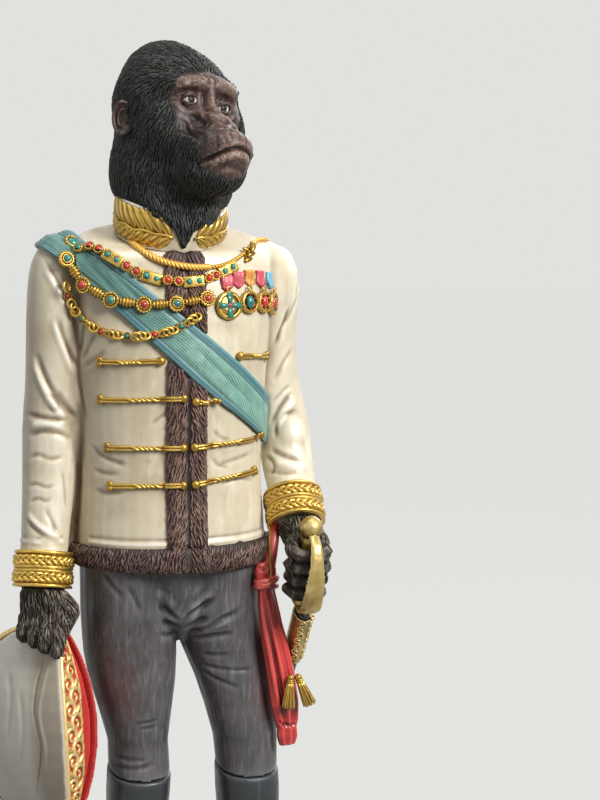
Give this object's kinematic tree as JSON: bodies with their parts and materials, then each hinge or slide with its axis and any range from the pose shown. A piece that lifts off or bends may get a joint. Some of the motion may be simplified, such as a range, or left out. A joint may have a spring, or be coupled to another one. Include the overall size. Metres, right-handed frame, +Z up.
{
  "type": "gorilla figurine",
  "caption": "Standing gorilla figurine in a braided officer's jacket, a cocked hat in one hand and a sheathed sabre in the other, on a round base with felt below.",
  "frame": {"origin": "middle of the felt pad's underside, on the surface that the figurine stands on", "axes": "+Z up, -Y the way the figurine's chest faces, +X towards its left hand and the sword"},
  "size_m": [0.1484, 0.116, 0.3944],
  "materials": {
    "felt": "short wool felt",
    "base_paint": "black painted resin, satin",
    "boot_paint": "near-black painted resin, dry-brushed",
    "trouser_paint": "charcoal painted resin, brushed with maroon",
    "jacket_paint": "cream pearl paint with a brown wash in the creases",
    "fur_paint": "brown painted carved fur",
    "gold_paint": "gold paint with a dark wash",
    "hair_paint": "black painted carved hair, dry-brushed grey-brown",
    "skin_paint": "brown painted skin",
    "eye_paint": "glossy painted eye with a dark iris",
    "teal_paint": "teal painted ribbed silk",
    "cord_paint": "orange-gold painted rope",
    "red_stone": "glossy red paint",
    "green_stone": "glossy green paint",
    "ribbon_paint": "ribbons painted rose, amber and blue",
    "sash_paint": "bright red paint, satin",
    "brass_paint": "antique brass paint",
    "scabbard_paint": "dark painted resin",
    "hat_paint": "cream paint with a brown wash",
    "lining_paint": "red paint"
  },
  "bodies": {
    "root": {"felt_pad": "felt", "base": "base_paint", "boot_soles": "boot_paint", "right_boot": "boot_paint", "left_boot": "boot_paint", "trousers": "trouser_paint", "jacket": "jacket_paint", "fur_hem": "fur_paint", "fur_placket": "fur_paint", "right_sleeve": "jacket_paint", "left_sleeve": "jacket_paint", "right_cuff": "gold_paint", "left_cuff": "gold_paint", "right_hand": "hair_paint", "left_hand": "hair_paint", "collar": "jacket_paint", "collar_leaves": "gold_paint", "neck": "hair_paint", "head": "hair_paint", "ears": "skin_paint", "eyes": "eye_paint", "shoulder_sash": "teal_paint", "neck_cord": "cord_paint", "upper_chain": "gold_paint", "middle_chain": "gold_paint", "lower_chain": "gold_paint", "red_stones": "red_stone", "green_stones": "green_stone", "medal_ribbons": "ribbon_paint", "medals": "gold_paint", "right_toggles": "gold_paint", "left_toggles": "gold_paint", "waist_sash": "sash_paint", "sash_tassel": "gold_paint", "sword_hilt": "brass_paint", "knuckle_guard": "brass_paint", "scabbard": "scabbard_paint", "scabbard_mounts": "brass_paint", "hat_near_side": "hat_paint", "hat_far_side": "hat_paint", "hat_lining": "lining_paint", "hat_lace": "gold_paint"}
  },
  "joints": []
}
